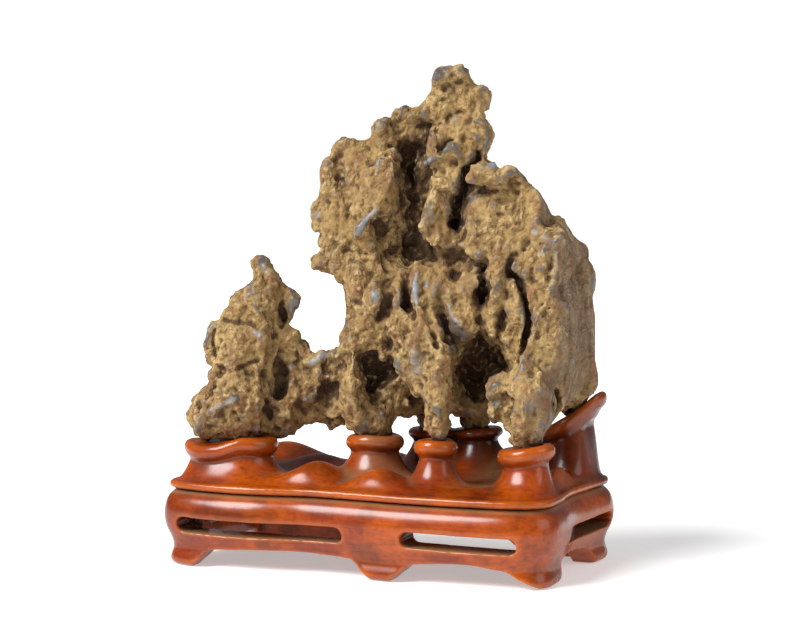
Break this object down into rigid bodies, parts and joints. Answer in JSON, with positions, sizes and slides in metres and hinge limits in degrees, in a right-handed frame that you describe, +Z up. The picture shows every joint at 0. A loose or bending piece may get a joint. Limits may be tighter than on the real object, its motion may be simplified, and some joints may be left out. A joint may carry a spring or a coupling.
{
  "type": "scholar's rock on a carved stand",
  "caption": "Upright weathered scholar's stone with a tall pierced main mass and a lower side peak, seated by its feet in a carved footed hardwood stand.",
  "frame": {"origin": "on the ground, under the middle of the object's box", "axes": "+Z up along the height of the stone, +X to the right along the stand's long front, +Y towards the back"},
  "size_m": [0.2422, 0.1372, 0.2868],
  "materials": {
    "limestone": "dull, finely pitted tan clay-coloured skin with blue-grey polish where it has been handled",
    "hardwood": "polished and waxed red-brown hardwood, dusty in the hollows"
  },
  "bodies": {
    "root": {"stone": "limestone", "stand_top": "hardwood", "stand_base": "hardwood"}
  },
  "joints": []
}
